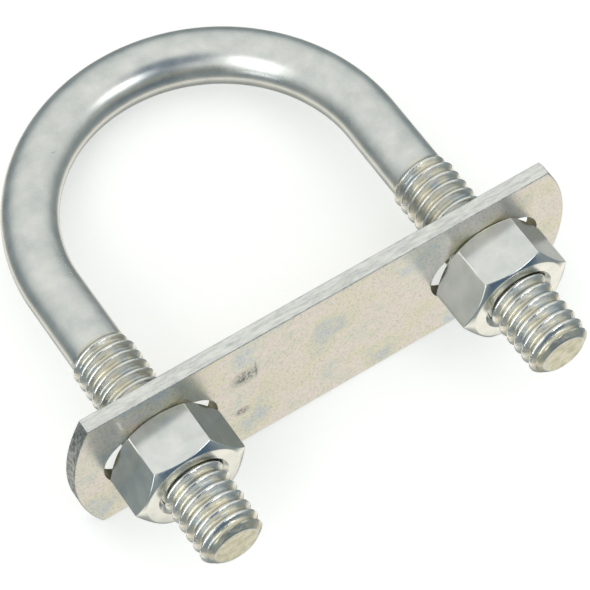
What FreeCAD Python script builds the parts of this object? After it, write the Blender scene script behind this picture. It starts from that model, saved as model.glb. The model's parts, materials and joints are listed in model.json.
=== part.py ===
import FreeCAD, Part

import math
import os

# U-bolt clamp: a bent rod with two threaded legs, a slotted saddle plate and two hex nuts.
# Frame: X runs across the legs, Y along the legs with the bow towards +Y, and Z is normal to
# the plane of the U.  The origin is the centre of the bow, which is the clamped pipe's centre.

# ---- driving dimensions (millimetres) ----
LEG_SPACING = 43.0          # centre to centre of the legs
SHANK_DIA = 6.85            # plain rod: the blank that the thread is rolled on
MAJOR_DIA = 7.8             # over the crests of the rolled thread, 5/16 in nominal
PITCH = 25.4 / 18.0         # 18 threads to the inch
THREAD_ANGLE = 60.0         # degrees, between the two flanks of a groove
THREAD_DEPTH = 0.62         # crest to root of the rod's thread, which is not rolled to full depth
ROOT_FLAT = 0.54            # width of a groove's bottom along the leg
THREAD_START_Y = -9.6       # upper end of the thread, below the bow
THREAD_LEAD_IN = 0.5        # length of the cone from the shank up to the crests
THREAD_TURN = 61.0          # degrees from +X towards -Z: where the groove leaves the end face
LEG_END_Y = -38.6           # faces of the leg ends
END_FLAT_DIA = 5.6          # flat left inside the chamfer at a leg's end
END_CHAMFER = 0.8           # length of that chamfer along the leg

PLATE_INNER_Y = -21.3       # the plate's face towards the bow
PLATE_THICK = 1.86
PLATE_WIDTH = 20.0          # along Z
PLATE_LENGTH = 65.0         # along X, over the rounded ends
PLATE_CORNER_LENGTH = 59.8  # along X, corner to corner
SLOT_LENGTH = 14.5
SLOT_WIDTH = 8.6

NUT_FLATS = 12.35           # across flats
NUT_THICK = 6.8
NUT_FACE_DIA = 11.8         # round face inside the corner chamfer
NUT_CHAMFER_ANGLE = 30.0    # degrees, between the chamfer and the nut's face
NUT_SINK_DIA = 8.9          # countersink at each mouth of the bore
NUT_BORE_DIA = 6.7          # inside the crests of a nut's thread
NUT_TURN = -24.0            # rest angle of each nut about its leg, degrees, from +X towards +Z
THREAD_ROOM = 0.13          # room between a nut's thread and a leg's, radially and axially

# ---- worked out from them ----
LEFT_X = -LEG_SPACING / 2
RIGHT_X = LEG_SPACING / 2
PLATE_OUTER_Y = PLATE_INNER_Y - PLATE_THICK
NUT_OUTER_Y = PLATE_OUTER_Y - NUT_THICK
MAJOR_R = MAJOR_DIA / 2
ROOT_R = MAJOR_R - THREAD_DEPTH
SHANK_R = SHANK_DIA / 2
LEG_LENGTH = -LEG_END_Y
THREAD_LENGTH = THREAD_START_Y - LEG_END_Y
FLANK = math.tan(math.radians(THREAD_ANGLE / 2))
CUT_MARGIN = 0.08           # how far a cutter stands outside what it cuts
SEW_TOLERANCE = 1e-4        # joins the strips of a thread into one skin


def revolved(points):
    """A solid of revolution about Z, from (radius, height) points."""
    outline = Part.makePolygon([FreeCAD.Vector(r, 0, z) for r, z in points + points[:1]])
    return Part.Face(outline).revolve(FreeCAD.Vector(0, 0, 0), FreeCAD.Vector(0, 0, 1), 360)


def line(a, b):
    return Part.LineSegment(a, b).toShape()


def arc(a, middle, b):
    return Part.Arc(a, middle, b).toShape()


def helix(radius, height):
    """One right-hand turn of the thread's pitch, from +X at the given height."""
    turn = Part.makeHelix(PITCH, PITCH, radius)
    turn.translate(FreeCAD.Vector(0, 0, height))
    return turn.Edges[0]


def screw(root_r, crest_r, root_flat, length):
    """A solid right-hand screw about Z with the groove's middle on +X at z = 0.

    It covers z = 0 to length and runs on past both.  Each turn is four strips: the groove's
    two flanks and its bottom, and the crest above it.
    """
    half_root = root_flat / 2
    half_groove = half_root + (crest_r - root_r) * FLANK
    profile = [
        (crest_r, -half_groove),
        (root_r, -half_root),
        (root_r, half_root),
        (crest_r, half_groove),
        (crest_r, PITCH - half_groove),
    ]
    edges = [helix(radius, height) for radius, height in profile]
    one_turn = [Part.makeRuledSurface(low, high) for low, high in zip(edges, edges[1:])]

    def end_faces(height):
        """A screw-shaped floor one turn long, and the flat step between its two ends."""
        base = height - half_groove
        axis = line(FreeCAD.Vector(0, 0, base), FreeCAD.Vector(0, 0, base + PITCH))
        step = [(0, -half_groove)] + profile + [(0, PITCH - half_groove)]
        corners = [FreeCAD.Vector(radius, 0, height + rise) for radius, rise in step]
        return [
            Part.makeRuledSurface(axis, helix(crest_r, base)),
            Part.Face(Part.makePolygon(corners + corners[:1])),
        ]

    turns = math.ceil(length / PITCH) + 3
    faces = end_faces(0) + end_faces(turns * PITCH)
    for turn in range(turns):
        for strip in one_turn:
            copy = strip.copy()
            copy.translate(FreeCAD.Vector(0, 0, turn * PITCH))
            faces.append(copy)
    skin = Part.makeShell(faces)
    skin.sewShape(SEW_TOLERANCE)
    solid = Part.Solid(skin)
    if solid.Volume < 0:
        solid.reverse()
    solid.translate(FreeCAD.Vector(0, 0, -2 * PITCH))
    return solid


def turned(shape, degrees):
    """The shape turned about Z."""
    shape.rotate(FreeCAD.Vector(0, 0, 0), FreeCAD.Vector(0, 0, 1), degrees)
    return shape


def put_on_leg(shape, x, y):
    """A copy of a shape made about Z, with its +Z along +Y and its base at y on a leg's axis."""
    placed = shape.copy()
    placed.rotate(FreeCAD.Vector(0, 0, 0), FreeCAD.Vector(1, 0, 0), -90)
    placed.translate(FreeCAD.Vector(x, y, 0))
    return placed


def make_leg():
    """One straight leg about Z, its chamfered end at z = 0, with its rolled thread."""
    thread = turned(screw(ROOT_R, MAJOR_R, ROOT_FLAT, THREAD_LENGTH), THREAD_TURN)
    end_slope = (MAJOR_R - END_FLAT_DIA / 2) / END_CHAMFER
    lead_slope = (MAJOR_R - SHANK_R) / THREAD_LEAD_IN
    outside = MAJOR_R + CUT_MARGIN
    ends = revolved(
        [
            (0, 0),
            (END_FLAT_DIA / 2, 0),
            (outside, END_CHAMFER + CUT_MARGIN / end_slope),
            (outside, THREAD_LENGTH - THREAD_LEAD_IN - CUT_MARGIN / lead_slope),
            (SHANK_R - CUT_MARGIN, THREAD_LENGTH + CUT_MARGIN / lead_slope),
            (0, THREAD_LENGTH + CUT_MARGIN / lead_slope),
        ]
    )
    shank = Part.makeCylinder(SHANK_R, LEG_LENGTH - THREAD_LENGTH, FreeCAD.Vector(0, 0, THREAD_LENGTH))
    return thread.common(ends).fuse(shank)


def make_rod():
    """The bent rod: a half-circle bow and two threaded legs, one solid."""
    section = Part.Wire(
        Part.makeCircle(SHANK_R, FreeCAD.Vector(RIGHT_X, 0, 0), FreeCAD.Vector(0, 1, 0))
    )
    bow = Part.Face(section).revolve(FreeCAD.Vector(0, 0, 0), FreeCAD.Vector(0, 0, 1), 180)
    leg = make_leg()
    return bow.fuse([put_on_leg(leg, x, LEG_END_Y) for x in (LEFT_X, RIGHT_X)])


def plate_point(x, z):
    """A point on the plate's outer face."""
    return FreeCAD.Vector(x, PLATE_OUTER_Y, z)


def slot_cutter(x):
    """A round-ended slot through the plate, long along X."""
    radius = SLOT_WIDTH / 2
    run = SLOT_LENGTH / 2 - radius
    tip = SLOT_LENGTH / 2
    outline = Part.Wire(
        [
            line(plate_point(x - run, radius), plate_point(x + run, radius)),
            arc(plate_point(x + run, radius), plate_point(x + tip, 0), plate_point(x + run, -radius)),
            line(plate_point(x + run, -radius), plate_point(x - run, -radius)),
            arc(plate_point(x - run, -radius), plate_point(x - tip, 0), plate_point(x - run, radius)),
        ]
    )
    cutter = Part.Face(outline).extrude(FreeCAD.Vector(0, PLATE_THICK + 2 * CUT_MARGIN, 0))
    cutter.translate(FreeCAD.Vector(0, -CUT_MARGIN, 0))
    return cutter


def make_plate():
    """The saddle plate: a flat strap with bulged ends and a slot for each leg."""
    corner = PLATE_CORNER_LENGTH / 2
    tip = PLATE_LENGTH / 2
    edge = PLATE_WIDTH / 2
    outline = Part.Wire(
        [
            line(plate_point(-corner, edge), plate_point(corner, edge)),
            arc(plate_point(corner, edge), plate_point(tip, 0), plate_point(corner, -edge)),
            line(plate_point(corner, -edge), plate_point(-corner, -edge)),
            arc(plate_point(-corner, -edge), plate_point(-tip, 0), plate_point(-corner, edge)),
        ]
    )
    strap = Part.Face(outline).extrude(FreeCAD.Vector(0, PLATE_THICK, 0))
    return strap.cut([slot_cutter(LEFT_X), slot_cutter(RIGHT_X)])


def make_nut():
    """One hex nut about Z, its outer face at z = 0, chamfered and countersunk on both faces."""
    corner_r = NUT_FLATS / math.sqrt(3)
    corners = []
    for k in range(6):
        angle = math.radians(30 + 60 * k - NUT_TURN)
        corners.append(FreeCAD.Vector(corner_r * math.cos(angle), corner_r * math.sin(angle), 0))
    prism = Part.Face(Part.makePolygon(corners + corners[:1])).extrude(FreeCAD.Vector(0, 0, NUT_THICK))

    face_r = NUT_FACE_DIA / 2
    rim_r = corner_r + CUT_MARGIN
    drop = (rim_r - face_r) * math.tan(math.radians(NUT_CHAMFER_ANGLE))
    rounder = revolved(
        [
            (0, 0),
            (face_r, 0),
            (rim_r, drop),
            (rim_r, NUT_THICK - drop),
            (face_r, NUT_THICK),
            (0, NUT_THICK),
        ]
    )
    blank = prism.common(rounder)

    bore_r = NUT_BORE_DIA / 2
    sink_r = NUT_SINK_DIA / 2
    inner_r = bore_r - CUT_MARGIN
    sink = revolved([(0, 0), (sink_r, 0), (inner_r, sink_r - inner_r), (0, sink_r - inner_r)])
    far_sink = sink.mirror(FreeCAD.Vector(0, 0, NUT_THICK / 2), FreeCAD.Vector(0, 0, 1))

    # The tap is the leg's thread grown by THREAD_ROOM, turned so that its groove lies where the
    # leg's groove is at the nut's height.
    crest_r = MAJOR_R + THREAD_ROOM
    groove_at_bore = ROOT_FLAT + 2 * (bore_r - ROOT_R) * FLANK
    ridge_flat = groove_at_bore - 2 * THREAD_ROOM * math.hypot(1, FLANK)
    tap = screw(bore_r, crest_r, ridge_flat, NUT_THICK)
    turned(tap, THREAD_TURN + 360 * (NUT_OUTER_Y - LEG_END_Y) / PITCH)
    return blank.cut([sink, far_sink]).cut(tap)


def write(name, shape):
    """Save one sub-part and print its size."""
    shape.exportStep(f"parts/{name}.step")
    box = shape.optimalBoundingBox()
    print(
        f"{name}: {len(shape.Solids)} solid, {len(shape.Faces)} faces, valid {shape.isValid()},",
        f"{shape.Volume:.1f} mm3, {box.XLength:.2f} x {box.YLength:.2f} x {box.ZLength:.2f} mm",
    )


os.makedirs("parts", exist_ok=True)
write("u_rod", make_rod())
write("plate", make_plate())
nut = make_nut()
write("nut_left", put_on_leg(nut, LEFT_X, NUT_OUTER_Y))
write("nut_right", put_on_leg(nut, RIGHT_X, NUT_OUTER_Y))
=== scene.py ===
# %% [markdown]
# # A U-bolt pipe clamp
#
# A U-bolt holds a pipe against a plate.  It is four loose pieces: a rod bent to a U with a
# thread rolled on both legs, a flat saddle plate with a slot for each leg, and two hex nuts
# that draw the plate up to the pipe.  All of them are mild steel, plated with bright zinc.
#
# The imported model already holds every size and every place, so the lesson starts by loading
# it.  It comes in metres.  The small values below are in millimetres, because that is how a
# bolt is measured, and `MM` turns them into Blender's metres.

# %% Load the frame
import json
import math

import bmesh
import bpy
from mathutils import Matrix, Vector


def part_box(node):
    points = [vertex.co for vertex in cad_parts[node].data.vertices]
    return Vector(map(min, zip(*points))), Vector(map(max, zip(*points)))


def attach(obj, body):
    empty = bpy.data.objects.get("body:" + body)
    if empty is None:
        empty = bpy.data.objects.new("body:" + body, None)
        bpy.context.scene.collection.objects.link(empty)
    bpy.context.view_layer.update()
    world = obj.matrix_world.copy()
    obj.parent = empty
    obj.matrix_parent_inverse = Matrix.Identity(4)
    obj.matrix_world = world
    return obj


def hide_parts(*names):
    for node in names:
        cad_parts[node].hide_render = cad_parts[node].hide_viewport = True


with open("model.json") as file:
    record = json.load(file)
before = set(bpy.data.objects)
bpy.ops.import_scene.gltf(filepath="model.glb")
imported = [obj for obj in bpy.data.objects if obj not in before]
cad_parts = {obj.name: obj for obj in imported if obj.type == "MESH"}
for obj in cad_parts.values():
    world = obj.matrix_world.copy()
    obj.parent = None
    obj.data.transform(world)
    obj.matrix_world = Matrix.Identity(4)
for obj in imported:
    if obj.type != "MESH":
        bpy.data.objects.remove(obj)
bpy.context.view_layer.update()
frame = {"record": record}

MM = 0.001

# %% [markdown]
# ## Sizes read from the frame
#
# The mounts in the record give the distance between the legs and the radius over the thread.
# The boxes of the parts give the rest.  Only what a box can't say, such as the pitch of the
# thread, is written down here.

# %% Sizes from the frame, in millimetres
mounts = {mount["name"]: mount for mount in frame["record"]["mounts"]}
LEG_SPACING = mounts["leg_ends"]["dims"]["spacing_x_mm"]
MAJOR_R = mounts["leg_ends"]["dims"]["stud_r_mm"]

rod_low, rod_high = (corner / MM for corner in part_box("u_rod"))
plate_low, plate_high = (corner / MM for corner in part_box("plate"))
nut_low, nut_high = (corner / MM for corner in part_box("nut_left"))

BOW_R = LEG_SPACING / 2
SHANK_R = rod_high.y - BOW_R
LEG_END_Y = rod_low.y
NUT_OUTER_Y = nut_low.y
NUT_THICK = nut_high.y - nut_low.y
print("bow radius", BOW_R, "shank radius", round(SHANK_R, 3), "nut thickness", round(NUT_THICK, 2))

# %% Sizes that the boxes can't say, in millimetres
PITCH = 25.4 / 18.0        # 18 threads to the inch
THREAD_DEPTH = 0.62        # crest to root, as the thread isn't rolled to full depth
THREAD_START_Y = -9.6      # where the thread runs out into the plain shank
THREAD_TURN = 61.0         # degrees from +X towards -Z: where the groove leaves the end face
END_FLAT_R = 2.8           # flat left inside the chamfer of a leg's end
END_CHAMFER = 0.8          # length of that chamfer
SLOT_LENGTH = 14.5
SLOT_WIDTH = 8.6
PLATE_CORNER_LENGTH = 59.8 # along X, corner to corner, inside the bulged ends
NUT_FLATS = 12.35          # across flats
NUT_FACE_R = 5.9           # the round face inside the corner chamfer
NUT_CHAMFER = 30.0         # degrees
NUT_SINK_R = 4.45          # countersink at the mouth of the bore
NUT_BORE_R = 3.35
NUT_TURN = -24.0           # rest angle of a nut about its leg, degrees from +X towards +Z
THREAD_ROOM = 0.13         # room between the two threads
THREAD_LENGTH = THREAD_START_Y - LEG_END_Y

# %% [markdown]
# ## The camera
#
# The clamp lies on its back and is seen from above and from the front left.  `BACK` points
# from the clamp to the camera.  The lens is long, so the legs hardly narrow with distance.

# %% Camera
CAMERA_TURN = math.radians(-30.19)
CAMERA_RISE = math.radians(57.84)
CAMERA_ROLL = math.radians(-3.10)
CAMERA_DISTANCE = 329.1
AIM_RIGHT = 9.11           # the view's centre passes this far from the bow's centre
AIM_DOWN = 10.45

BACK = Vector(
    (
        math.sin(CAMERA_TURN) * math.cos(CAMERA_RISE),
        -math.cos(CAMERA_TURN) * math.cos(CAMERA_RISE),
        math.sin(CAMERA_RISE),
    )
)
level_right = Vector((math.cos(CAMERA_TURN), math.sin(CAMERA_TURN), 0))
level_up = BACK.cross(level_right)
view_right = level_right * math.cos(CAMERA_ROLL) + level_up * math.sin(CAMERA_ROLL)
view_up = level_up * math.cos(CAMERA_ROLL) - level_right * math.sin(CAMERA_ROLL)

lens = bpy.data.cameras.new("camera")
lens.sensor_width = 36
lens.lens = 174.0
lens.clip_start = 0.01
lens.clip_end = 10
camera = bpy.data.objects.new("camera", lens)
axes = Matrix((view_right, view_up, BACK)).transposed().to_4x4()
place = BACK * CAMERA_DISTANCE + view_right * AIM_RIGHT - view_up * AIM_DOWN
camera.matrix_world = Matrix.Translation(place * MM) @ axes
bpy.context.scene.collection.objects.link(camera)
bpy.context.scene.camera = camera
print("camera at", [round(v, 4) for v in camera.location])

# %% [markdown]
# ## Helpers for materials
#
# `colour` takes a hex value as a colour picker shows it and gives the linear colour that the
# shader needs.  `add` makes one node: settings go to its sockets or to its own options, links
# join other nodes' outputs to its sockets, and stops fill a colour ramp.

# %% Material helpers
def colour(hex_value):
    """A picked colour such as #C0C0C0 in linear light."""
    channels = [int(hex_value[i:i + 2], 16) / 255 for i in (1, 3, 5)]
    linear = [c / 12.92 if c <= 0.04045 else ((c + 0.055) / 1.055) ** 2.4 for c in channels]
    return (*linear, 1.0)


def add(tree, kind, settings=None, links=None, stops=()):
    """Add one node of a kind and give it back."""
    node = tree.nodes.new(kind)
    for name, value in (settings or {}).items():
        if isinstance(name, str) and hasattr(node, name):
            setattr(node, name, value)
        else:
            node.inputs[name].default_value = value
    for name, source in (links or {}).items():
        tree.links.new(source, node.inputs[name])
    for i, (position, value) in enumerate(stops):
        ramp = node.color_ramp
        stop = ramp.elements[i] if i < 2 else ramp.elements.new(position)
        stop.position = position
        stop.color = value
    return node


def grey(level):
    """A plain mask value as a colour."""
    return (level, level, level, 1.0)


def new_material(name):
    """An empty material and its node tree."""
    material = bpy.data.materials.new(name)
    material.use_nodes = True
    material.node_tree.nodes.clear()
    return material, material.node_tree


# %% [markdown]
# ## The studio
#
# Bright metal has hardly any colour of its own: it shows the room.  So the room is made
# first.  It is a tent that is pale above and grey towards the horizon, with white paper close
# below.  Two soft windows stand in it: a tall one on the left and a small one in front, which
# give the bow its white streaks.
#
# The clamp rests on the bow's back and on the plate's lower edge, so the floor leans a little
# against the clamp's own axes.

# %% Floor
bow_rest = Vector((0, rod_high.y, -SHANK_R))
plate_rest = Vector((0, (plate_low.y + plate_high.y) / 2, plate_low.z))
along_floor = (bow_rest - plate_rest).normalized()
FLOOR_NORMAL = Vector((1, 0, 0)).cross(along_floor)
FLOOR_SIZE = 2000

floor_mesh = bmesh.new()
bmesh.ops.create_grid(floor_mesh, x_segments=1, y_segments=1, size=FLOOR_SIZE)
lean = Vector((0, 0, 1)).rotation_difference(FLOOR_NORMAL).to_matrix().to_4x4()
bow_low = Vector((0, BOW_R, 0)) - FLOOR_NORMAL * SHANK_R
plate_far_edge = Vector((0, plate_high.y, plate_low.z))
floor_drop = min(FLOOR_NORMAL.dot(spot) for spot in (plate_low, plate_far_edge, bow_low))
floor_place = Matrix.Scale(MM, 4) @ Matrix.Translation(FLOOR_NORMAL * floor_drop) @ lean
bmesh.ops.transform(floor_mesh, matrix=floor_place, verts=floor_mesh.verts)
mesh = bpy.data.meshes.new("paper_floor")
floor_mesh.to_mesh(mesh)
floor_mesh.free()
floor = bpy.data.objects.new("paper_floor", mesh)
bpy.context.scene.collection.objects.link(floor)
floor.visible_glossy = False

paper, tree = new_material("matt_white_paper")
shader = add(tree, "ShaderNodeBsdfPrincipled", {
    "Base Color": colour("#F4F4F2"),
    "Roughness": 0.9,
    "Emission Color": colour("#FFFFFF"),
    "Emission Strength": 0.36,
})
add(tree, "ShaderNodeOutputMaterial", links={"Surface": shader.outputs["BSDF"]})
mesh.materials.append(paper)
print("floor leans", round(math.degrees(FLOOR_NORMAL.angle(Vector((0, 0, 1)))), 2), "degrees")

# %% Tent
world = bpy.data.worlds.new("tent")
world.use_nodes = True
tree = world.node_tree
tree.nodes.clear()
direction = add(tree, "ShaderNodeTexCoord")
height = add(tree, "ShaderNodeVectorMath", {"operation": "DOT_PRODUCT", 1: FLOOR_NORMAL},
             {0: direction.outputs["Generated"]})
span = add(tree, "ShaderNodeMapRange", {"From Min": -1.0, "From Max": 1.0},
           {"Value": height.outputs["Value"]})
ramp = add(tree, "ShaderNodeValToRGB", links={"Fac": span.outputs["Result"]}, stops=[
    (0.00, colour("#8E908C")),
    (0.06, colour("#A8AAA6")),
    (0.10, colour("#FFFAEE")),
    (0.13, colour("#FFFAEE")),
    (0.20, colour("#7E8585")),
    (0.45, colour("#808A8E")),
    (0.52, colour("#A9B0B0")),
    (0.68, colour("#D0D3D1")),
    (1.00, colour("#DEDFDC")),
])
# The front of the tent is open to a dark room, low down and in a gap between the windows.  Each
# gap is a direction and the cosines of its soft outer and inner edge.
GAPS = (
    (Vector((0.18, -0.98, 0.0)), 0.80, 0.93),
    (Vector((-0.05, -0.70, 0.71)), 0.90, 0.97),
)
room = ramp.outputs["Color"]
for towards, outer, inner in GAPS:
    facing = add(tree, "ShaderNodeVectorMath", {"operation": "DOT_PRODUCT", 1: towards},
                 {0: direction.outputs["Generated"]})
    patch = add(tree, "ShaderNodeMapRange", {"From Min": outer, "From Max": inner},
                {"Value": facing.outputs["Value"]})
    gap = add(tree, "ShaderNodeMix", {"data_type": "RGBA", 7: colour("#40566A")},
              {0: patch.outputs["Result"], 6: room})
    room = gap.outputs[2]
glow = add(tree, "ShaderNodeBackground", {"Strength": 1.25}, {"Color": room})
add(tree, "ShaderNodeOutputWorld", links={"Surface": glow.outputs["Background"]})
bpy.context.scene.world = world
bpy.context.scene.view_settings.view_transform = "Standard"


# %% Windows of light
WINDOW_DISTANCE = 600      # mm


def window(name, compass, rise, width, height, brightness):
    """A soft light that faces the clamp.  Its compass is in degrees from +Y towards +X.

    A flat light's brightness is its power over its area and pi, and 1 shows as pure white.
    """
    light = bpy.data.lights.new(name, "AREA")
    light.shape = "RECTANGLE"
    light.size = width * MM
    light.size_y = height * MM
    light.energy = brightness * math.pi * light.size * light.size_y
    way = Vector(
        (
            math.sin(math.radians(compass)) * math.cos(math.radians(rise)),
            math.cos(math.radians(compass)) * math.cos(math.radians(rise)),
            math.sin(math.radians(rise)),
        )
    )
    way = lean.to_3x3() @ way
    lamp = bpy.data.objects.new(name, light)
    aim = way.to_track_quat("Z", "Y").to_matrix().to_4x4()
    lamp.matrix_world = Matrix.Translation(way * WINDOW_DISTANCE * MM) @ aim
    bpy.context.scene.collection.objects.link(lamp)


window("tall_window_left", compass=-118, rise=20, width=210, height=760, brightness=2.2)
window("small_window_front", compass=156, rise=35, width=230, height=200, brightness=3.0)

# %% [markdown]
# ## Zinc plating
#
# Bright zinc goes on in a bath and is then dipped in a thin chromate, which leaves a skin that
# is a little warm and shows faint pinks and blues where it is thicker.  It follows the steel
# below it: drawn wire is satin with lengthwise lines, a rolled thread is burnished at the
# crests, rolled strip is grainy, and a nut's cut flats are the smoothest.  All of them are
# metals, so Metallic is 1 and the IOR stays as it is.
#
# Each pattern reads Object coordinates, which are metres, so its scale is one over the real
# size of the grain.

# %% Zinc on drawn wire, for the bow and the shanks
wire, tree = new_material("zinc_on_drawn_wire")
where = add(tree, "ShaderNodeTexCoord")
split = add(tree, "ShaderNodeSeparateXYZ", links={0: where.outputs["Object"]})
# Drawing lines run along the wire, so they only change across it.  Distance from the bow's
# centre, or from the middle between the legs below it, and Z are the two ways across.
beyond = add(tree, "ShaderNodeMath", {"operation": "MAXIMUM", 1: 0.0}, {0: split.outputs["Y"]})
flat = add(tree, "ShaderNodeCombineXYZ", links={"X": split.outputs["X"], "Y": beyond.outputs[0]})
across = add(tree, "ShaderNodeVectorMath", {"operation": "LENGTH"}, {0: flat.outputs["Vector"]})
lines_at = add(tree, "ShaderNodeCombineXYZ",
               links={"X": across.outputs["Value"], "Y": split.outputs["Z"]})
DRAW_LINE = 0.30 * MM      # really about 0.05 mm, drawn coarser so that it shows
draw_lines = add(tree, "ShaderNodeTexNoise", {"Scale": 1 / DRAW_LINE, "Detail": 2.0},
                 {"Vector": lines_at.outputs["Vector"]})
MOTTLE = 3.0 * MM          # cloudy patches of the bath
mottle = add(tree, "ShaderNodeTexNoise", {"Scale": 1 / MOTTLE, "Detail": 4.0, "Roughness": 0.6},
             {"Vector": where.outputs["Object"]})
GRAIN = 0.22 * MM          # zinc crystals, drawn about twice their real size
grain = add(tree, "ShaderNodeTexNoise", {"Scale": 1 / GRAIN, "Detail": 2.0},
            {"Vector": where.outputs["Object"]})
tint = add(tree, "ShaderNodeValToRGB", links={"Fac": mottle.outputs["Fac"]}, stops=[
    (0.30, colour("#CCD0CE")),
    (0.70, colour("#E8E8E4")),
])
PIT = 1.1 * MM             # spacing of the tiny dark pits
pits = add(tree, "ShaderNodeTexNoise", {"Scale": 1 / PIT, "Detail": 5.0, "Roughness": 0.75},
           {"Vector": where.outputs["Object"]})
pit_mask = add(tree, "ShaderNodeValToRGB", links={"Fac": pits.outputs["Fac"]}, stops=[
    (0.665, grey(0.0)),
    (0.75, grey(0.7)),
])
skin = add(tree, "ShaderNodeMix", {"data_type": "RGBA", 7: colour("#5A5C58")},
           {0: pit_mask.outputs["Color"], 6: tint.outputs["Color"]})
gloss = add(tree, "ShaderNodeMapRange", {"To Min": 0.22, "To Max": 0.36},
            {"Value": mottle.outputs["Fac"]})
relief = add(tree, "ShaderNodeMath", {"operation": "ADD"},
             {0: draw_lines.outputs["Fac"], 1: grain.outputs["Fac"]})
bump = add(tree, "ShaderNodeBump", {"Strength": 0.25, "Distance": 0.02 * MM},
           {"Height": relief.outputs[0]})
shader = add(tree, "ShaderNodeBsdfPrincipled", {"Metallic": 1.0}, {
    "Base Color": skin.outputs[2],
    "Roughness": gloss.outputs["Result"],
    "Normal": bump.outputs["Normal"],
})
add(tree, "ShaderNodeOutputMaterial", links={"Surface": shader.outputs["BSDF"]})

# %% Zinc on a rolled thread
thread_zinc, tree = new_material("zinc_on_rolled_thread")
where = add(tree, "ShaderNodeTexCoord")
split = add(tree, "ShaderNodeSeparateXYZ", links={0: where.outputs["Object"]})
# How far a point is from its leg's axis says whether it is on a crest or in a root.  The roots are
# painted darker and bluer than the crests, as painted shade and a painted reflection of the blue
# room.
side = add(tree, "ShaderNodeMath", {"operation": "ABSOLUTE"}, {0: split.outputs["X"]})
off_axis = add(tree, "ShaderNodeMath", {"operation": "SUBTRACT", 1: BOW_R * MM},
               {0: side.outputs[0]})
section = add(tree, "ShaderNodeCombineXYZ",
              links={"X": off_axis.outputs[0], "Y": split.outputs["Z"]})
radius = add(tree, "ShaderNodeVectorMath", {"operation": "LENGTH"}, {0: section.outputs["Vector"]})
height = add(tree, "ShaderNodeMapRange", {
    "From Min": (MAJOR_R - THREAD_DEPTH) * MM,
    "From Max": MAJOR_R * MM,
}, {"Value": radius.outputs["Value"]})
mottle = add(tree, "ShaderNodeTexNoise", {"Scale": 1 / (2.6 * MM), "Detail": 4.0, "Roughness": 0.6},
             {"Vector": where.outputs["Object"]})
grain = add(tree, "ShaderNodeTexNoise", {"Scale": 1 / GRAIN, "Detail": 2.0},
            {"Vector": where.outputs["Object"]})
painted_root_shade = add(tree, "ShaderNodeValToRGB", links={"Fac": mottle.outputs["Fac"]}, stops=[
    (0.38, colour("#B6BFC3")),
    (0.50, colour("#D4D1C0")),
    (0.62, colour("#E0DAC4")),
])
# Painted shade: the roots take the darker, bluer colour and the crests the light one.
skin = add(tree, "ShaderNodeMix", {"data_type": "RGBA", 7: colour("#F0F0ED")},
           {0: height.outputs["Result"], 6: painted_root_shade.outputs["Color"]})
gloss = add(tree, "ShaderNodeMapRange", {"To Min": 0.34, "To Max": 0.18},
            {"Value": height.outputs["Result"]})
DENT = 0.9 * MM            # a rolled and handled thread is a little battered
dents = add(tree, "ShaderNodeTexNoise", {"Scale": 1 / DENT, "Detail": 3.0},
            {"Vector": where.outputs["Object"]})
relief = add(tree, "ShaderNodeMath", {"operation": "MULTIPLY_ADD", 1: 4.0},
             {0: dents.outputs["Fac"], 2: grain.outputs["Fac"]})
bump = add(tree, "ShaderNodeBump", {"Strength": 0.6, "Distance": 0.03 * MM},
           {"Height": relief.outputs[0]})
shader = add(tree, "ShaderNodeBsdfPrincipled", {"Metallic": 1.0}, {
    "Base Color": skin.outputs[2],
    "Roughness": gloss.outputs["Result"],
    "Normal": bump.outputs["Normal"],
})
add(tree, "ShaderNodeOutputMaterial", links={"Surface": shader.outputs["BSDF"]})

# %% Chromate-yellowed zinc on a cropped leg end
end_zinc, tree = new_material("zinc_on_cropped_end")
where = add(tree, "ShaderNodeTexCoord")
grain = add(tree, "ShaderNodeTexNoise", {"Scale": 1 / (1.1 * MM), "Detail": 5.0, "Roughness": 0.6},
            {"Vector": where.outputs["Object"]})
tint = add(tree, "ShaderNodeValToRGB", links={"Fac": grain.outputs["Fac"]}, stops=[
    (0.36, colour("#DAD6BE")),
    (0.60, colour("#FAF5E0")),
])
bump = add(tree, "ShaderNodeBump", {"Strength": 0.5, "Distance": 0.05 * MM},
           {"Height": grain.outputs["Fac"]})
shader = add(tree, "ShaderNodeBsdfPrincipled", {"Metallic": 1.0, "Roughness": 0.42}, {
    "Base Color": tint.outputs["Color"],
    "Normal": bump.outputs["Normal"],
})
add(tree, "ShaderNodeOutputMaterial", links={"Surface": shader.outputs["BSDF"]})

# %% Zinc on rolled strip, for the plate's faces
strip, tree = new_material("zinc_on_rolled_strip")
where = add(tree, "ShaderNodeTexCoord")
CLOUD = 7.0 * MM           # patches of thicker and thinner chromate
cloud = add(tree, "ShaderNodeTexNoise", {"Scale": 1 / CLOUD, "Detail": 5.0, "Roughness": 0.62},
            {"Vector": where.outputs["Object"]})
tint = add(tree, "ShaderNodeValToRGB", links={"Fac": cloud.outputs["Fac"]}, stops=[
    (0.30, colour("#D2DAE2")),
    (0.41, colour("#E8E7DC")),
    (0.50, colour("#F4ECE7")),
    (0.58, colour("#F0EDDA")),
    (0.70, colour("#DEE3E5")),
])
GRAIN_STRIP = 0.35 * MM
grain = add(tree, "ShaderNodeTexNoise", {"Scale": 1 / GRAIN_STRIP, "Detail": 4.0, "Roughness": 0.7},
            {"Vector": where.outputs["Object"]})
grain_shade = add(tree, "ShaderNodeValToRGB", links={"Fac": grain.outputs["Fac"]}, stops=[
    (0.34, grey(0.76)),
    (0.52, grey(1.0)),
])
toned = add(tree, "ShaderNodeMix", {"data_type": "RGBA", "blend_type": "MULTIPLY", 0: 1.0},
            {6: tint.outputs["Color"], 7: grain_shade.outputs["Color"]})
SPECK = 1.3 * MM
specks = add(tree, "ShaderNodeTexNoise", {"Scale": 1 / SPECK, "Detail": 6.0, "Roughness": 0.8},
             {"Vector": where.outputs["Object"]})
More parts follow.
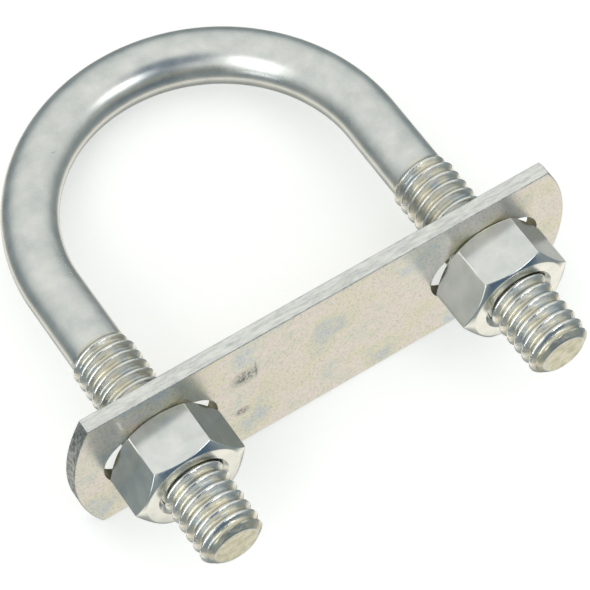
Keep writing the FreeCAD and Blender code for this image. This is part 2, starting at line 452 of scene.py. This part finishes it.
speck_mask = add(tree, "ShaderNodeValToRGB", links={"Fac": specks.outputs["Fac"]}, stops=[
    (0.69, grey(0.0)),
    (0.76, grey(0.8)),
])
skin = add(tree, "ShaderNodeMix", {"data_type": "RGBA", 7: colour("#4E4E48")},
           {0: speck_mask.outputs["Color"], 6: toned.outputs[2]})
# Two scuffs and a short scratch between the legs, as (x, z, half width, half height) in mm.
SCUFFS = ((-10.6, 3.4, 2.0, 1.6), (-11.2, -3.4, 1.1, 0.9), (-9.1, 3.8, 0.22, 1.9))
rubbed = skin.outputs[2]
for x, z, width, tall in SCUFFS:
    spot = add(tree, "ShaderNodeMapping", {
        "vector_type": "TEXTURE",
        "Location": (x * MM, 0, z * MM),
        "Scale": (width * MM, 1.0, tall * MM),
    }, {"Vector": where.outputs["Object"]})
    reach = add(tree, "ShaderNodeVectorMath", {"operation": "LENGTH"}, {0: spot.outputs["Vector"]})
    inside = add(tree, "ShaderNodeMapRange", {"From Min": 1.1, "From Max": 0.3},
                 {"Value": reach.outputs["Value"]})
    broken = add(tree, "ShaderNodeMapRange", {"From Min": 0.42, "From Max": 0.54},
                 {"Value": grain.outputs["Fac"]})
    amount = add(tree, "ShaderNodeMath", {"operation": "MULTIPLY"},
                 {0: inside.outputs["Result"], 1: broken.outputs["Result"]})
    layer = add(tree, "ShaderNodeMix", {"data_type": "RGBA", 7: colour("#6A7476")},
                {0: amount.outputs[0], 6: rubbed})
    rubbed = layer.outputs[2]
gloss = add(tree, "ShaderNodeMapRange", {"To Min": 0.26, "To Max": 0.42},
            {"Value": cloud.outputs["Fac"]})
bump = add(tree, "ShaderNodeBump", {"Strength": 0.4, "Distance": 0.03 * MM},
           {"Height": grain.outputs["Fac"]})
shader = add(tree, "ShaderNodeBsdfPrincipled", {"Metallic": 1.0}, {
    "Base Color": rubbed,
    "Roughness": gloss.outputs["Result"],
    "Normal": bump.outputs["Normal"],
})
add(tree, "ShaderNodeOutputMaterial", links={"Surface": shader.outputs["BSDF"]})

# %% Zinc on a sheared edge, for the rim of the plate
sheared, tree = new_material("zinc_on_sheared_edge")
where = add(tree, "ShaderNodeTexCoord")
streak_size = (1.6 * MM, 0.35 * MM, 0.8 * MM)
stretch = add(tree, "ShaderNodeMapping", {"Scale": [1 / size for size in streak_size]},
              {"Vector": where.outputs["Object"]})
streak = add(tree, "ShaderNodeTexNoise", {"Scale": 1.0, "Detail": 5.0, "Roughness": 0.65},
             {"Vector": stretch.outputs["Vector"]})
tint = add(tree, "ShaderNodeValToRGB", links={"Fac": streak.outputs["Fac"]}, stops=[
    (0.30, colour("#C6C8C4")),
    (0.60, colour("#EEEEEA")),
])
bump = add(tree, "ShaderNodeBump", {"Strength": 0.5, "Distance": 0.04 * MM},
           {"Height": streak.outputs["Fac"]})
shader = add(tree, "ShaderNodeBsdfPrincipled", {"Metallic": 1.0, "Roughness": 0.38}, {
    "Base Color": tint.outputs["Color"],
    "Normal": bump.outputs["Normal"],
})
add(tree, "ShaderNodeOutputMaterial", links={"Surface": shader.outputs["BSDF"]})

# %% Zinc on torn metal for the plate's ends, also put on its bevelled edges as a painted shadow
torn_edge_and_bevel_shade, tree = new_material("zinc_torn_edge_and_bevel_shade")
where = add(tree, "ShaderNodeTexCoord")
fleck = add(tree, "ShaderNodeTexNoise", {"Scale": 1 / (0.5 * MM), "Detail": 5.0, "Roughness": 0.75},
            {"Vector": where.outputs["Object"]})
tint = add(tree, "ShaderNodeValToRGB", links={"Fac": fleck.outputs["Fac"]}, stops=[
    (0.40, colour("#6E7070")),
    (0.60, colour("#C9CCCC")),
])
bump = add(tree, "ShaderNodeBump", {"Strength": 0.8, "Distance": 0.06 * MM},
           {"Height": fleck.outputs["Fac"]})
shader = add(tree, "ShaderNodeBsdfPrincipled", {"Metallic": 1.0, "Roughness": 0.35}, {
    "Base Color": tint.outputs["Color"],
    "Normal": bump.outputs["Normal"],
})
add(tree, "ShaderNodeOutputMaterial", links={"Surface": shader.outputs["BSDF"]})

# %% Zinc in a punched slot, coloured darker and browner than the plate's faces
punched, tree = new_material("zinc_in_punched_slot")
where = add(tree, "ShaderNodeTexCoord")
streak_size = (0.4 * MM, 2.0 * MM, 0.4 * MM)
stretch = add(tree, "ShaderNodeMapping", {"Scale": [1 / size for size in streak_size]},
              {"Vector": where.outputs["Object"]})
streak = add(tree, "ShaderNodeTexNoise", {"Scale": 1.0, "Detail": 4.0},
             {"Vector": stretch.outputs["Vector"]})
tint = add(tree, "ShaderNodeValToRGB", links={"Fac": streak.outputs["Fac"]}, stops=[
    (0.35, colour("#6F6A50")),
    (0.65, colour("#A39D80")),
])
shader = add(tree, "ShaderNodeBsdfPrincipled", {"Metallic": 1.0, "Roughness": 0.45}, {
    "Base Color": tint.outputs["Color"],
})
add(tree, "ShaderNodeOutputMaterial", links={"Surface": shader.outputs["BSDF"]})

# %% Zinc on a cold-formed nut
nut_zinc, tree = new_material("zinc_on_cold_formed_nut")
where = add(tree, "ShaderNodeTexCoord")
mottle = add(tree, "ShaderNodeTexNoise", {
    "Scale": 1 / (2.5 * MM),
    "Detail": 3.0,
    "Roughness": 0.55,
}, {"Vector": where.outputs["Object"]})
tint = add(tree, "ShaderNodeValToRGB", links={"Fac": mottle.outputs["Fac"]}, stops=[
    (0.30, colour("#D8DBD9")),
    (0.70, colour("#EDEEEA")),
])
gloss = add(tree, "ShaderNodeMapRange", {"To Min": 0.16, "To Max": 0.26},
            {"Value": mottle.outputs["Fac"]})
grain = add(tree, "ShaderNodeTexNoise", {"Scale": 1 / (0.4 * MM), "Detail": 3.0},
            {"Vector": where.outputs["Object"]})
bump = add(tree, "ShaderNodeBump", {"Strength": 0.15, "Distance": 0.02 * MM},
           {"Height": grain.outputs["Fac"]})
shader = add(tree, "ShaderNodeBsdfPrincipled", {"Metallic": 1.0}, {
    "Base Color": tint.outputs["Color"],
    "Roughness": gloss.outputs["Result"],
    "Normal": bump.outputs["Normal"],
})
add(tree, "ShaderNodeOutputMaterial", links={"Surface": shader.outputs["BSDF"]})

# %% [markdown]
# ## Helpers for pieces
#
# Every piece is modelled in millimetres with bmesh operators, and scaled to metres at the end.
# A leg and a nut are modelled about Z and then laid down, so that their +Z lies along +Y.

# %% Piece helpers
SAME = 1e-4                # mm: points closer than this are one point
SHARP_ANGLE = 42           # degrees: edges sharper than this stay crisp


def radius_of(vert):
    return math.hypot(vert.co.x, vert.co.y)


def set_radius(vert, radius):
    share = radius / radius_of(vert)
    vert.co.x *= share
    vert.co.y *= share


def rim_at(bm, height):
    """The open edges of a shape that lie at one height."""
    return [
        edge for edge in bm.edges
        if edge.is_boundary and all(abs(v.co.z - height) < SAME for v in edge.verts)
    ]


def trim(bm, height, keep_above):
    """Cut a shape level at a height and keep one side."""
    bmesh.ops.bisect_plane(
        bm,
        geom=bm.verts[:] + bm.edges[:] + bm.faces[:],
        dist=1e-5,
        plane_co=(0, 0, height),
        plane_no=(0, 0, 1),
        clear_inner=keep_above,
        clear_outer=not keep_above,
    )


def lay_down(bm, x, y):
    """Turn +Z to +Y and move the base to its place on a leg's axis."""
    move = Matrix.Translation((x, y, 0)) @ Matrix.Rotation(math.radians(-90), 4, "X")
    bmesh.ops.transform(bm, matrix=move, verts=bm.verts)


def finish_piece(name, bm, materials, body, node):
    """Give a finished bmesh to an object that rides on a body in place of a CAD node."""
    bmesh.ops.remove_doubles(bm, verts=bm.verts, dist=SAME)
    bmesh.ops.recalc_face_normals(bm, faces=bm.faces)
    bmesh.ops.scale(bm, vec=(MM, MM, MM), verts=bm.verts)
    open_edges = sum(not edge.is_manifold for edge in bm.edges)
    for face in bm.faces:
        face.smooth = True
    mesh = bpy.data.meshes.new(name)
    bm.to_mesh(mesh)
    bm.free()
    mesh.set_sharp_from_angle(angle=math.radians(SHARP_ANGLE))
    for material in materials:
        mesh.materials.append(material)
    piece = bpy.data.objects.new(name, mesh)
    bpy.context.scene.collection.objects.link(piece)
    weigh = piece.modifiers.new("even_flats", "WEIGHTED_NORMAL")
    weigh.keep_sharp = True
    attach(piece, body)
    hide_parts(node)
    print(name, len(mesh.polygons), "faces,", open_edges, "open edges")
    return piece


# %% [markdown]
# ## A screw thread
#
# A thread is one outline, a pitch high, carried round the axis while it climbs.  Blender's
# spin does just that when it is given a step up with each step round.  The top of one turn
# then lies exactly on the bottom of the next, and merging doubles welds them.
#
# This thread isn't rolled to full depth, so its crests are rounded.  A cosine has nearly the
# real 60 degree flanks, and raising it to a power a little over 1 narrows the crests.

# %% Thread
PROFILE_POINTS = 20        # along one pitch
TURN_STEPS = 48            # round one turn
CREST_NARROWING = 1.3
WELD = 1e-3                # mm, between the top of one turn and the bottom of the next


def leg_thread_radius(phase):
    """Radius of the leg's thread; phase is 0 at a crest and 0.5 in a root."""
    rise = ((1 + math.cos(2 * math.pi * phase)) / 2) ** CREST_NARROWING
    return MAJOR_R - THREAD_DEPTH * (1 - rise)


def nut_thread_radius(phase):
    """The nut's thread stands clear of the leg's, and its ridges are cut off at the bore."""
    return max(NUT_BORE_R, leg_thread_radius(phase) + THREAD_ROOM)


def screw_surface(radius_at, length, turn):
    """A threaded skin about Z that covers z = 0 to length, its groove at turn degrees there."""
    bm = bmesh.new()
    phases = [i / PROFILE_POINTS for i in range(PROFILE_POINTS + 1)]
    outline = [bm.verts.new((radius_at(p), 0, PITCH * (p - 0.5))) for p in phases]
    edges = [bm.edges.new(pair) for pair in zip(outline, outline[1:])]
    turns = math.ceil(length / PITCH) + 2
    bmesh.ops.spin(
        bm,
        geom=outline + edges,
        cent=(0, 0, 0),
        axis=(0, 0, 1),
        dvec=(0, 0, PITCH / TURN_STEPS),
        angle=math.radians(360 * turns),
        steps=TURN_STEPS * turns,
    )
    bmesh.ops.remove_doubles(bm, verts=bm.verts, dist=WELD)
    move = Matrix.Rotation(math.radians(turn), 4, "Z") @ Matrix.Translation((0, 0, -PITCH))
    bmesh.ops.transform(bm, matrix=move, verts=bm.verts)
    return bm


# %% [markdown]
# ## The bent rod
#
# The blank is cropped from wire, chamfered, thread-rolled at both ends and then bent.  Rolling
# pushes metal up, so the crests stand proud of the plain shank.  The thread is shaped by
# moving its points in and out: inside a cone at the end, and fading to the shank's radius at
# the other.

# %% Threaded legs
RUN_OUT = 1.3              # mm over which the thread fades into the shank
JOIN = 0.4                 # mm between the thread's last ring and the shank's first
DISH = 0.06                # how far a leg's end is sunk inside its rim
RIM = 0.22                 # width of that rim
THREAD, CROPPED = 1, 2     # material numbers of a leg's faces; the drawn wire is 0
CONE_TIP_R = 1.0           # mm: stops the cone at the end from closing on the axis


def make_leg():
    """One threaded leg about Z, its end face at z = 0 and its other rim open."""
    bm = screw_surface(leg_thread_radius, THREAD_LENGTH, THREAD_TURN)
    end_slope = (MAJOR_R - END_FLAT_R) / END_CHAMFER
    for vert in bm.verts:
        z = vert.co.z
        cone = max(END_FLAT_R + z * end_slope, CONE_TIP_R)
        fade = min(max((z - (THREAD_LENGTH - RUN_OUT)) / RUN_OUT, 0), 1)
        fade = fade * fade * (3 - 2 * fade)
        wanted = min(radius_of(vert), cone)
        set_radius(vert, wanted * (1 - fade) + SHANK_R * fade)
    trim(bm, 0, keep_above=True)
    trim(bm, THREAD_LENGTH, keep_above=False)
    for face in bm.faces:
        face.material_index = THREAD
    cap = bmesh.ops.edgeloop_fill(bm, edges=rim_at(bm, 0))["faces"]
    bmesh.ops.inset_region(bm, faces=cap, thickness=RIM, depth=-DISH)
    for face in cap:
        face.material_index = CROPPED
    return bm


def add_leg(rod, x):
    """Put one leg in the rod's bmesh and give back its open rim."""
    leg = make_leg()
    lay_down(leg, x, LEG_END_Y)
    part = bpy.data.meshes.new("leg")
    leg.to_mesh(part)
    leg.free()
    before = set(rod.edges)
    rod.from_mesh(part)
    bpy.data.meshes.remove(part)
    rod.edges.ensure_lookup_table()
    return [edge for edge in rod.edges if edge not in before and edge.is_boundary]


# %% Bow and shanks
RING_POINTS = 72           # round the wire
BOW_STEPS = 120            # round the half circle


def push_edges(bm, edges, vec):
    """Extrude a ring along a straight run and give back the new ring's edges."""
    new = bmesh.ops.extrude_edge_only(bm, edges=edges)["geom"]
    bmesh.ops.translate(bm, verts=[g for g in new if isinstance(g, bmesh.types.BMVert)], vec=vec)
    return [g for g in new if isinstance(g, bmesh.types.BMEdge) and g.is_boundary]


def make_rod():
    """Two legs and the plain wire between them, joined at their rims."""
    rod = bmesh.new()
    left_rim = add_leg(rod, -BOW_R)
    right_rim = add_leg(rod, BOW_R)
    shank = -THREAD_START_Y - JOIN
    stand = Matrix.Translation((-BOW_R, -shank, 0)) @ Matrix.Rotation(math.radians(90), 4, "X")
    circle = bmesh.ops.create_circle(rod, segments=RING_POINTS, radius=SHANK_R, matrix=stand)
    first_ring = list({edge for vert in circle["verts"] for edge in vert.link_edges})
    ring = push_edges(rod, first_ring, (0, shank, 0))
    bow = bmesh.ops.spin(
        rod,
        geom=ring + list({v for edge in ring for v in edge.verts}),
        cent=(0, 0, 0),
        axis=(0, 0, 1),
        angle=math.radians(-180),
        steps=BOW_STEPS,
    )
    ring = [g for g in bow["geom_last"] if isinstance(g, bmesh.types.BMEdge)]
    last_ring = push_edges(rod, ring, (0, -shank, 0))
    bmesh.ops.bridge_loops(rod, edges=left_rim + first_ring)
    bmesh.ops.bridge_loops(rod, edges=right_rim + last_ring)
    return rod


finish_piece("bent_rod", make_rod(), [wire, thread_zinc, end_zinc], "u_rod", "u_rod")

# %% [markdown]
# ## The saddle plate
#
# The plate is sheared from strip, and its slots are punched.  The outline is drawn by spinning
# single points round their arc centres, filled, and pushed up to the plate's thickness.  A
# small bevel all round is what shearing and tumbling leave, and it catches the light; where it
# meets the faces it is painted dark, as a painted shadow of the burr.

# %% Saddle plate
PLATE_BEVEL = 0.14
ARC_STEPS = 28
BEVEL_SEGMENTS = 3
RIM_ANGLE = 40             # degrees: the outline's edges are sharper than this
FACE, EDGE, TORN_OR_SHADED_BEVEL, SLOT = 0, 1, 2, 3
FACE_TILT, BEVEL_TILT = 0.9, 0.3    # a face's share of Y in its normal, on a flat and a bevel


def spun_point(bm, start, centre, angle):
    """Draw an arc in the plate's plane by spinning a point; gives back its two end points."""
    first = bm.verts.new(start)
    arc = bmesh.ops.spin(
        bm, geom=[first], cent=centre, axis=(0, 1, 0), angle=angle, steps=ARC_STEPS
    )
    last = [g for g in arc["geom_last"] if isinstance(g, bmesh.types.BMVert)][0]
    return first, last


def ring_of_two_arcs(bm, middle, start, centre, angle):
    """A closed outline: an arc, the same arc turned half round the middle, and two lines."""
    ends = []
    for sign in (1, -1):
        at = Vector((middle + sign * start[0], plate_low.y, sign * start[1]))
        turn_about = Vector((middle + sign * centre, plate_low.y, 0))
        ends.append(spun_point(bm, at, turn_about, angle))
    bm.edges.new((ends[0][1], ends[1][0]))
    bm.edges.new((ends[1][1], ends[0][0]))


def make_plate():
    """The slotted plate, its edges bevelled, its faces sorted by how they were made, and the bevels
    beside the faces painted dark as a painted shadow.
    """
    bm = bmesh.new()
    half_width = plate_high.z
    corner = PLATE_CORNER_LENGTH / 2
    bulge = plate_high.x - corner
    end_r = (half_width ** 2 + bulge ** 2) / (2 * bulge)
    sweep = 2 * math.asin(half_width / end_r)
    ring_of_two_arcs(bm, 0, (corner, half_width), plate_high.x - end_r, sweep)
    slot_r = SLOT_WIDTH / 2
    slot_run = SLOT_LENGTH / 2 - slot_r
    for x in (-BOW_R, BOW_R):
        ring_of_two_arcs(bm, x, (slot_run, slot_r), slot_run, math.pi)
    bmesh.ops.triangle_fill(bm, edges=bm.edges[:], use_beauty=True, normal=(0, -1, 0))
    top = bmesh.ops.extrude_face_region(bm, geom=bm.faces[:])["geom"]
    thick = plate_high.y - plate_low.y
    top_verts = [g for g in top if isinstance(g, bmesh.types.BMVert)]
    bmesh.ops.translate(bm, verts=top_verts, vec=(0, thick, 0))
    bmesh.ops.recalc_face_normals(bm, faces=bm.faces)
    sharp = [edge for edge in bm.edges if edge.calc_face_angle(0) > math.radians(RIM_ANGLE)]
    rim = [edge for edge in sharp if abs(edge.verts[0].co.y - edge.verts[1].co.y) < SAME]
    bmesh.ops.bevel(
        bm,
        geom=rim,
        offset=PLATE_BEVEL,
        segments=BEVEL_SEGMENTS,
        profile=0.5,
        affect="EDGES",
        material=-1,
    )
    for face in bm.faces:
        spot = face.calc_center_median()
        if abs(face.normal.y) > FACE_TILT:
            face.material_index = FACE
        # Bevels that lean towards the faces take the dark torn metal: a painted shadow of the burr
        # along the edges.
        elif abs(spot.x) > corner or abs(face.normal.y) > BEVEL_TILT:
            face.material_index = TORN_OR_SHADED_BEVEL
        elif abs(spot.z) > half_width - 2 * PLATE_BEVEL:
            face.material_index = EDGE
        else:
            face.material_index = SLOT
    return bm


plate_metals = [strip, sheared, torn_edge_and_bevel_shade, punched]
finish_piece("saddle_plate", make_plate(), plate_metals, "plate", "plate")

# %% [markdown]
# ## The hex nuts
#
# A nut starts as a round blank: one outline spun about the bore.  Its rim is then pushed out
# to the hexagon, and wherever the rim goes further out, the 30 degree chamfer brings it lower.
# That gives the curved edges of a real chamfered nut with no cutting.  The bore is a thread
# like the leg's, grown by the room between them, and opened at both mouths by a countersink.

# %% Hex nut
NUT_STEPS = 96             # a multiple of 6, so that every corner has a point
NUT_BEVEL = 0.10
NUT_EDGE_ANGLE = 20        # degrees: the nut's edges are sharper than this
LIP = 0.15                 # flat ring between the countersink and the first ring of the face


def hexagon_radius(angle):
    """Distance from the axis to the hexagon, which has a corner at angle 0."""
    from_flat = (angle % math.radians(60)) - math.radians(30)
    return NUT_FLATS / 2 / math.cos(from_flat)


def make_nut(x):
    """A chamfered hexagon round a threaded bore, on the leg at x."""
    bm = bmesh.new()
    corner_r = NUT_FLATS / math.sqrt(3)
    levels = [
        (NUT_SINK_R + LIP, 0),
        (NUT_FACE_R, 0),
        (corner_r, 1),
        (corner_r, NUT_THICK - 1),
        (NUT_FACE_R, NUT_THICK),
        (NUT_SINK_R + LIP, NUT_THICK),
    ]
    outline = [bm.verts.new((r, 0, z)) for r, z in levels]
    edges = [bm.edges.new(pair) for pair in zip(outline, outline[1:])]
    bmesh.ops.spin(
        bm,
        geom=outline + edges,
        cent=(0, 0, 0),
        axis=(0, 0, 1),
        angle=math.radians(360),
        steps=NUT_STEPS,
        use_merge=True,
    )
    slope = math.tan(math.radians(NUT_CHAMFER))
    for vert in bm.verts:
        if radius_of(vert) > NUT_FACE_R + SAME:
            radius = hexagon_radius(math.atan2(vert.co.y, vert.co.x))
            drop = (radius - NUT_FACE_R) * slope
            set_radius(vert, radius)
            vert.co.z = drop if vert.co.z < NUT_THICK / 2 else NUT_THICK - drop
    bmesh.ops.recalc_face_normals(bm, faces=bm.faces)
    sharp = [edge for edge in bm.edges if edge.calc_face_angle(0) > math.radians(NUT_EDGE_ANGLE)]
    bmesh.ops.bevel(
        bm,
        geom=sharp,
        offset=NUT_BEVEL,
        segments=BEVEL_SEGMENTS,
        profile=0.5,
        affect="EDGES",
        material=-1,
    )
    turn = Matrix.Rotation(math.radians(30 - NUT_TURN), 4, "Z")
    bmesh.ops.transform(bm, matrix=turn, verts=bm.verts)

    phase = THREAD_TURN + 360 * (NUT_OUTER_Y - LEG_END_Y) / PITCH
    bore = screw_surface(nut_thread_radius, NUT_THICK, phase)
    for vert in bore.verts:
        depth = min(vert.co.z, NUT_THICK - vert.co.z)
        set_radius(vert, max(radius_of(vert), NUT_SINK_R - depth))
    trim(bore, 0, keep_above=True)
    trim(bore, NUT_THICK, keep_above=False)
    part = bpy.data.meshes.new("bore")
    bore.to_mesh(part)
    bore.free()
    bm.from_mesh(part)
    bpy.data.meshes.remove(part)
    for height in (0, NUT_THICK):
        bmesh.ops.bridge_loops(bm, edges=rim_at(bm, height))
    lay_down(bm, x, NUT_OUTER_Y)
    return bm


for side, x in (("left", -BOW_R), ("right", BOW_R)):
    finish_piece(f"hex_nut_{side}", make_nut(x), [nut_zinc], f"nut_{side}", f"nut_{side}")
